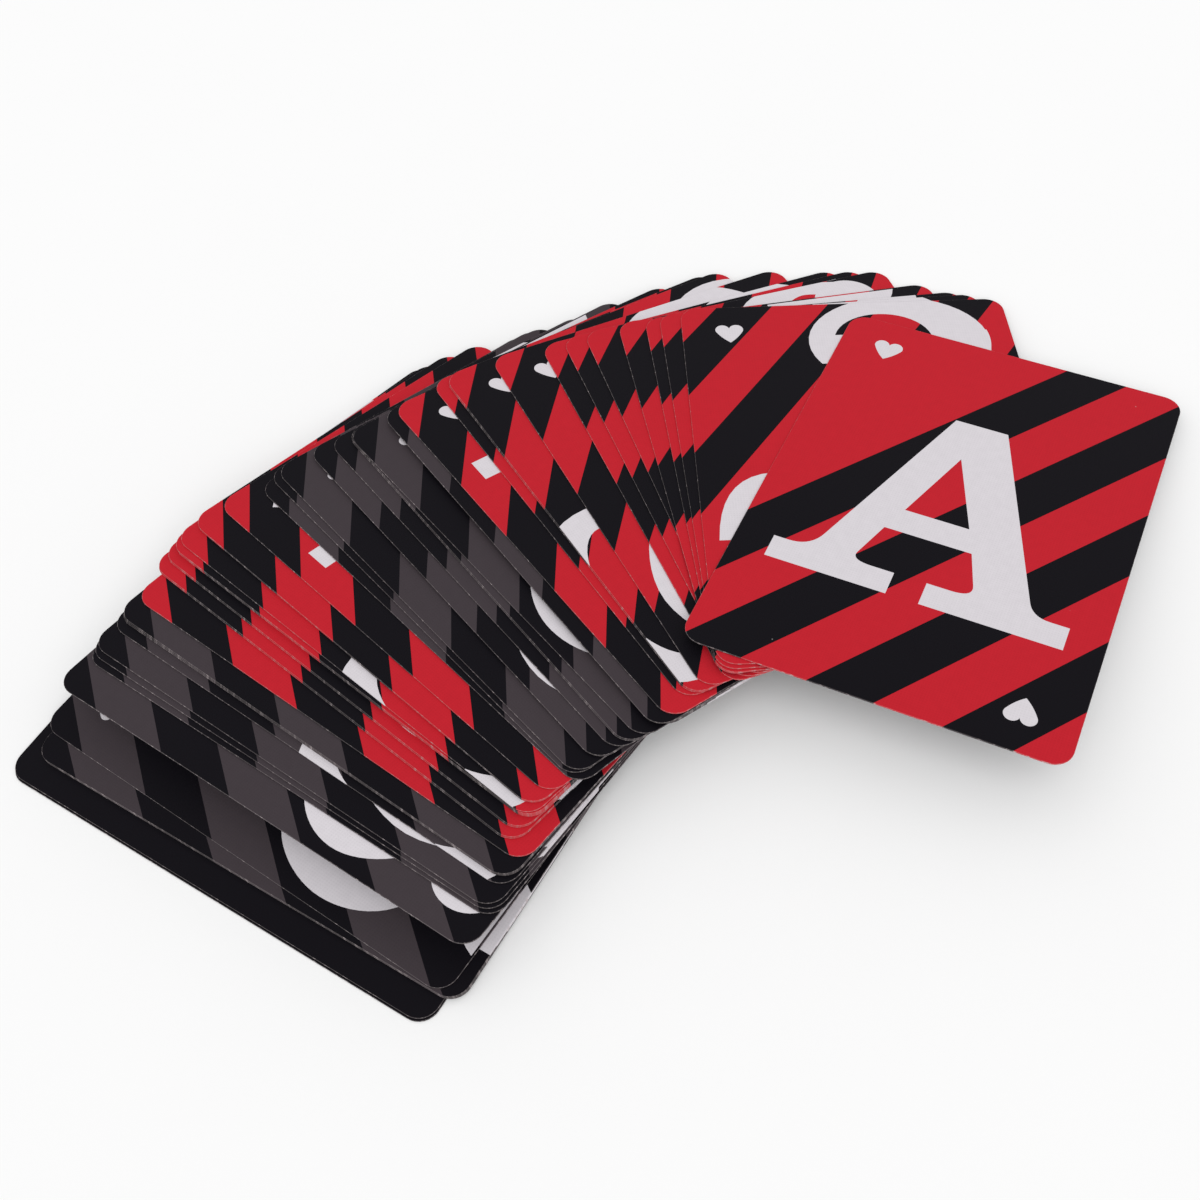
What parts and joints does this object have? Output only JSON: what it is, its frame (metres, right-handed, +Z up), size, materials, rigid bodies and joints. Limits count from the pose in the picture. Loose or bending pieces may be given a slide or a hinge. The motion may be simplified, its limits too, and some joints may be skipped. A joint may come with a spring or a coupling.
{
  "type": "playing card deck",
  "caption": "Face-up pack of playing cards spread in a leaning arc: round-cornered cards with striped faces, each of which draws out of the spread along its own length.",
  "frame": {"origin": "centre of the underside of the lowest card, on the table", "axes": "+Z up from the table; +X to the right along the spread, seen from the side that the picture shows"},
  "size_m": [0.211, 0.1501, 0.015],
  "materials": {
    "red_suit_card": "coated card, red and black stripes",
    "dark_suit_card": "coated card, dark grey and black stripes",
    "joker_card": "coated card, black"
  },
  "bodies": {
    "first_joker": {"first_joker": "joker_card"},
    "second_joker": {"second_joker": "joker_card"},
    "ace_of_spades": {"ace_of_spades": "dark_suit_card"},
    "two_of_spades": {"two_of_spades": "dark_suit_card"},
    "three_of_spades": {"three_of_spades": "dark_suit_card"},
    "four_of_spades": {"four_of_spades": "dark_suit_card"},
    "five_of_spades": {"five_of_spades": "dark_suit_card"},
    "six_of_spades": {"six_of_spades": "dark_suit_card"},
    "seven_of_spades": {"seven_of_spades": "dark_suit_card"},
    "eight_of_spades": {"eight_of_spades": "dark_suit_card"},
    "nine_of_spades": {"nine_of_spades": "dark_suit_card"},
    "ten_of_spades": {"ten_of_spades": "dark_suit_card"},
    "jack_of_spades": {"jack_of_spades": "dark_suit_card"},
    "queen_of_spades": {"queen_of_spades": "dark_suit_card"},
    "king_of_spades": {"king_of_spades": "dark_suit_card"},
    "ace_of_diamonds": {"ace_of_diamonds": "red_suit_card"},
    "two_of_diamonds": {"two_of_diamonds": "red_suit_card"},
    "three_of_diamonds": {"three_of_diamonds": "red_suit_card"},
    "four_of_diamonds": {"four_of_diamonds": "red_suit_card"},
    "five_of_diamonds": {"five_of_diamonds": "red_suit_card"},
    "six_of_diamonds": {"six_of_diamonds": "red_suit_card"},
    "seven_of_diamonds": {"seven_of_diamonds": "red_suit_card"},
    "eight_of_diamonds": {"eight_of_diamonds": "red_suit_card"},
    "nine_of_diamonds": {"nine_of_diamonds": "red_suit_card"},
    "ten_of_diamonds": {"ten_of_diamonds": "red_suit_card"},
    "jack_of_diamonds": {"jack_of_diamonds": "red_suit_card"},
    "queen_of_diamonds": {"queen_of_diamonds": "red_suit_card"},
    "king_of_diamonds": {"king_of_diamonds": "red_suit_card"},
    "king_of_clubs": {"king_of_clubs": "dark_suit_card"},
    "queen_of_clubs": {"queen_of_clubs": "dark_suit_card"},
    "jack_of_clubs": {"jack_of_clubs": "dark_suit_card"},
    "ten_of_clubs": {"ten_of_clubs": "dark_suit_card"},
    "nine_of_clubs": {"nine_of_clubs": "dark_suit_card"},
    "eight_of_clubs": {"eight_of_clubs": "dark_suit_card"},
    "seven_of_clubs": {"seven_of_clubs": "dark_suit_card"},
    "six_of_clubs": {"six_of_clubs": "dark_suit_card"},
    "five_of_clubs": {"five_of_clubs": "dark_suit_card"},
    "four_of_clubs": {"four_of_clubs": "dark_suit_card"},
    "three_of_clubs": {"three_of_clubs": "dark_suit_card"},
    "two_of_clubs": {"two_of_clubs": "dark_suit_card"},
    "ace_of_clubs": {"ace_of_clubs": "dark_suit_card"},
    "king_of_hearts": {"king_of_hearts": "red_suit_card"},
    "queen_of_hearts": {"queen_of_hearts": "red_suit_card"},
    "jack_of_hearts": {"jack_of_hearts": "red_suit_card"},
    "ten_of_hearts": {"ten_of_hearts": "red_suit_card"},
    "nine_of_hearts": {"nine_of_hearts": "red_suit_card"},
    "eight_of_hearts": {"eight_of_hearts": "red_suit_card"},
    "seven_of_hearts": {"seven_of_hearts": "red_suit_card"},
    "six_of_hearts": {"six_of_hearts": "red_suit_card"},
    "five_of_hearts": {"five_of_hearts": "red_suit_card"},
    "four_of_hearts": {"four_of_hearts": "red_suit_card"},
    "three_of_hearts": {"three_of_hearts": "red_suit_card"},
    "two_of_hearts": {"two_of_hearts": "red_suit_card"},
    "ace_of_hearts": {"ace_of_hearts": "red_suit_card"}
  },
  "joints": [
    {"name": "second_joker_draw", "type": "slide", "parent": "first_joker", "child": "second_joker", "axis": [0.8192, -0.5736, 0], "range_m": [0, 0.0889]},
    {"name": "ace_of_spades_draw", "type": "slide", "parent": "first_joker", "child": "ace_of_spades", "axis": [0.8211, -0.5707, 0], "range_m": [0, 0.0889]},
    {"name": "two_of_spades_draw", "type": "slide", "parent": "first_joker", "child": "two_of_spades", "axis": [0.8211, -0.5707, 0], "range_m": [0, 0.0889]},
    {"name": "three_of_spades_draw", "type": "slide", "parent": "first_joker", "child": "three_of_spades", "axis": [0.8211, -0.5707, 0], "range_m": [0, 0.0889]},
    {"name": "four_of_spades_draw", "type": "slide", "parent": "first_joker", "child": "four_of_spades", "axis": [0.8211, -0.5707, 0], "range_m": [0, 0.0889]},
    {"name": "five_of_spades_draw", "type": "slide", "parent": "first_joker", "child": "five_of_spades", "axis": [0.7891, -0.6143, 0], "range_m": [0, 0.0889]},
    {"name": "six_of_spades_draw", "type": "slide", "parent": "first_joker", "child": "six_of_spades", "axis": [0.7913, -0.6114, 0.0016], "range_m": [0, 0.0889]},
    {"name": "seven_of_spades_draw", "type": "slide", "parent": "first_joker", "child": "seven_of_spades", "axis": [0.787, -0.6169, 0.0025], "range_m": [0, 0.0889]},
    {"name": "eight_of_spades_draw", "type": "slide", "parent": "first_joker", "child": "eight_of_spades", "axis": [0.7817, -0.6237, 0.0036], "range_m": [0, 0.0889]},
    {"name": "nine_of_spades_draw", "type": "slide", "parent": "first_joker", "child": "nine_of_spades", "axis": [0.7762, -0.6304, 0.0047], "range_m": [0, 0.0889]},
    {"name": "ten_of_spades_draw", "type": "slide", "parent": "first_joker", "child": "ten_of_spades", "axis": [0.7696, -0.6385, 0.0061], "range_m": [0, 0.0889]},
    {"name": "jack_of_spades_draw", "type": "slide", "parent": "first_joker", "child": "jack_of_spades", "axis": [0.7641, -0.6451, 0.0072], "range_m": [0, 0.0889]},
    {"name": "queen_of_spades_draw", "type": "slide", "parent": "first_joker", "child": "queen_of_spades", "axis": [0.763, -0.6464, 0.0075], "range_m": [0, 0.0889]},
    {"name": "king_of_spades_draw", "type": "slide", "parent": "first_joker", "child": "king_of_spades", "axis": [0.7618, -0.6477, 0.0077], "range_m": [0, 0.0889]},
    {"name": "ace_of_diamonds_draw", "type": "slide", "parent": "first_joker", "child": "ace_of_diamonds", "axis": [0.7573, -0.653, 0.0086], "range_m": [0, 0.0889]},
    {"name": "two_of_diamonds_draw", "type": "slide", "parent": "first_joker", "child": "two_of_diamonds", "axis": [0.7188, -0.6951, 0.016], "range_m": [0, 0.0889]},
    {"name": "three_of_diamonds_draw", "type": "slide", "parent": "first_joker", "child": "three_of_diamonds", "axis": [0.7188, -0.6951, 0.016], "range_m": [0, 0.0889]},
    {"name": "four_of_diamonds_draw", "type": "slide", "parent": "first_joker", "child": "four_of_diamonds", "axis": [0.7127, -0.7013, 0.0171], "range_m": [0, 0.0889]},
    {"name": "five_of_diamonds_draw", "type": "slide", "parent": "first_joker", "child": "five_of_diamonds", "axis": [0.7127, -0.7013, 0.0171], "range_m": [0, 0.0889]},
    {"name": "six_of_diamonds_draw", "type": "slide", "parent": "first_joker", "child": "six_of_diamonds", "axis": [0.7151, -0.6988, 0.0167], "range_m": [0, 0.0889]},
    {"name": "seven_of_diamonds_draw", "type": "slide", "parent": "first_joker", "child": "seven_of_diamonds", "axis": [0.7151, -0.6988, 0.0167], "range_m": [0, 0.0889]},
    {"name": "eight_of_diamonds_draw", "type": "slide", "parent": "first_joker", "child": "eight_of_diamonds", "axis": [0.7151, -0.6988, 0.0167], "range_m": [0, 0.0889]},
    {"name": "nine_of_diamonds_draw", "type": "slide", "parent": "first_joker", "child": "nine_of_diamonds", "axis": [0.7151, -0.6988, 0.0167], "range_m": [0, 0.0889]},
    {"name": "ten_of_diamonds_draw", "type": "slide", "parent": "first_joker", "child": "ten_of_diamonds", "axis": [0.7029, -0.711, 0.0189], "range_m": [0, 0.0889]},
    {"name": "jack_of_diamonds_draw", "type": "slide", "parent": "first_joker", "child": "jack_of_diamonds", "axis": [0.6816, -0.7314, 0.0227], "range_m": [0, 0.0889]},
    {"name": "queen_of_diamonds_draw", "type": "slide", "parent": "first_joker", "child": "queen_of_diamonds", "axis": [0.6816, -0.7314, 0.0227], "range_m": [0, 0.0889]},
    {"name": "king_of_diamonds_draw", "type": "slide", "parent": "first_joker", "child": "king_of_diamonds", "axis": [0.661, -0.7499, 0.0263], "range_m": [0, 0.0889]},
    {"name": "king_of_clubs_draw", "type": "slide", "parent": "first_joker", "child": "king_of_clubs", "axis": [0.6305, -0.7755, 0.0313], "range_m": [0, 0.0889]},
    {"name": "queen_of_clubs_draw", "type": "slide", "parent": "first_joker", "child": "queen_of_clubs", "axis": [0.606, -0.7947, 0.0352], "range_m": [0, 0.0889]},
    {"name": "jack_of_clubs_draw", "type": "slide", "parent": "first_joker", "child": "jack_of_clubs", "axis": [0.5977, -0.8009, 0.0366], "range_m": [0, 0.0889]},
    {"name": "ten_of_clubs_draw", "type": "slide", "parent": "first_joker", "child": "ten_of_clubs", "axis": [0.568, -0.822, 0.0411], "range_m": [0, 0.0889]},
    {"name": "nine_of_clubs_draw", "type": "slide", "parent": "first_joker", "child": "nine_of_clubs", "axis": [0.568, -0.822, 0.0411], "range_m": [0, 0.0889]},
    {"name": "eight_of_clubs_draw", "type": "slide", "parent": "first_joker", "child": "eight_of_clubs", "axis": [0.5608, -0.8268, 0.0421], "range_m": [0, 0.0889]},
    {"name": "seven_of_clubs_draw", "type": "slide", "parent": "first_joker", "child": "seven_of_clubs", "axis": [0.5435, -0.8382, 0.0447], "range_m": [0, 0.0889]},
    {"name": "six_of_clubs_draw", "type": "slide", "parent": "first_joker", "child": "six_of_clubs", "axis": [0.5435, -0.8382, 0.0447], "range_m": [0, 0.0889]},
    {"name": "five_of_clubs_draw", "type": "slide", "parent": "first_joker", "child": "five_of_clubs", "axis": [0.568, -0.822, 0.0411], "range_m": [0, 0.0889]},
    {"name": "four_of_clubs_draw", "type": "slide", "parent": "first_joker", "child": "four_of_clubs", "axis": [0.5229, -0.8511, 0.0477], "range_m": [0, 0.0889]},
    {"name": "three_of_clubs_draw", "type": "slide", "parent": "first_joker", "child": "three_of_clubs", "axis": [0.5229, -0.8511, 0.0477], "range_m": [0, 0.0889]},
    {"name": "two_of_clubs_draw", "type": "slide", "parent": "first_joker", "child": "two_of_clubs", "axis": [0.5229, -0.8511, 0.0477], "range_m": [0, 0.0889]},
    {"name": "ace_of_clubs_draw", "type": "slide", "parent": "first_joker", "child": "ace_of_clubs", "axis": [0.5229, -0.8511, 0.0477], "range_m": [0, 0.0889]},
    {"name": "king_of_hearts_draw", "type": "slide", "parent": "first_joker", "child": "king_of_hearts", "axis": [0.5244, -0.8502, 0.0474], "range_m": [0, 0.0889]},
    {"name": "queen_of_hearts_draw", "type": "slide", "parent": "first_joker", "child": "queen_of_hearts", "axis": [0.4731, -0.8793, 0.0545], "range_m": [0, 0.0889]},
    {"name": "jack_of_hearts_draw", "type": "slide", "parent": "first_joker", "child": "jack_of_hearts", "axis": [0.4578, -0.8873, 0.0565], "range_m": [0, 0.0889]},
    {"name": "ten_of_hearts_draw", "type": "slide", "parent": "first_joker", "child": "ten_of_hearts", "axis": [0.4578, -0.8873, 0.0565], "range_m": [0, 0.0889]},
    {"name": "nine_of_hearts_draw", "type": "slide", "parent": "first_joker", "child": "nine_of_hearts", "axis": [0.3804, -0.9224, 0.0663], "range_m": [0, 0.0889]},
    {"name": "eight_of_hearts_draw", "type": "slide", "parent": "first_joker", "child": "eight_of_hearts", "axis": [0.3136, -0.9467, 0.0741], "range_m": [0, 0.0889]},
    {"name": "seven_of_hearts_draw", "type": "slide", "parent": "first_joker", "child": "seven_of_hearts", "axis": [0.2804, -0.9567, 0.0777], "range_m": [0, 0.0889]},
    {"name": "six_of_hearts_draw", "type": "slide", "parent": "first_joker", "child": "six_of_hearts", "axis": [0.2468, -0.9657, 0.0813], "range_m": [0, 0.0889]},
    {"name": "five_of_hearts_draw", "type": "slide", "parent": "first_joker", "child": "five_of_hearts", "axis": [0.1255, -0.9877, 0.0931], "range_m": [0, 0.0889]},
    {"name": "four_of_hearts_draw", "type": "slide", "parent": "first_joker", "child": "four_of_hearts", "axis": [0.0632, -0.9931, 0.0986], "range_m": [0, 0.0889]},
    {"name": "three_of_hearts_draw", "type": "slide", "parent": "first_joker", "child": "three_of_hearts", "axis": [0.0301, -0.9944, 0.1013], "range_m": [0, 0.0889]},
    {"name": "two_of_hearts_draw", "type": "slide", "parent": "first_joker", "child": "two_of_hearts", "axis": [-0.0168, -0.9943, 0.105], "range_m": [0, 0.0889]},
    {"name": "ace_of_hearts_draw", "type": "slide", "parent": "first_joker", "child": "ace_of_hearts", "axis": [-0.4614, -0.8779, 0.1278], "range_m": [0, 0.0889]}
  ]
}
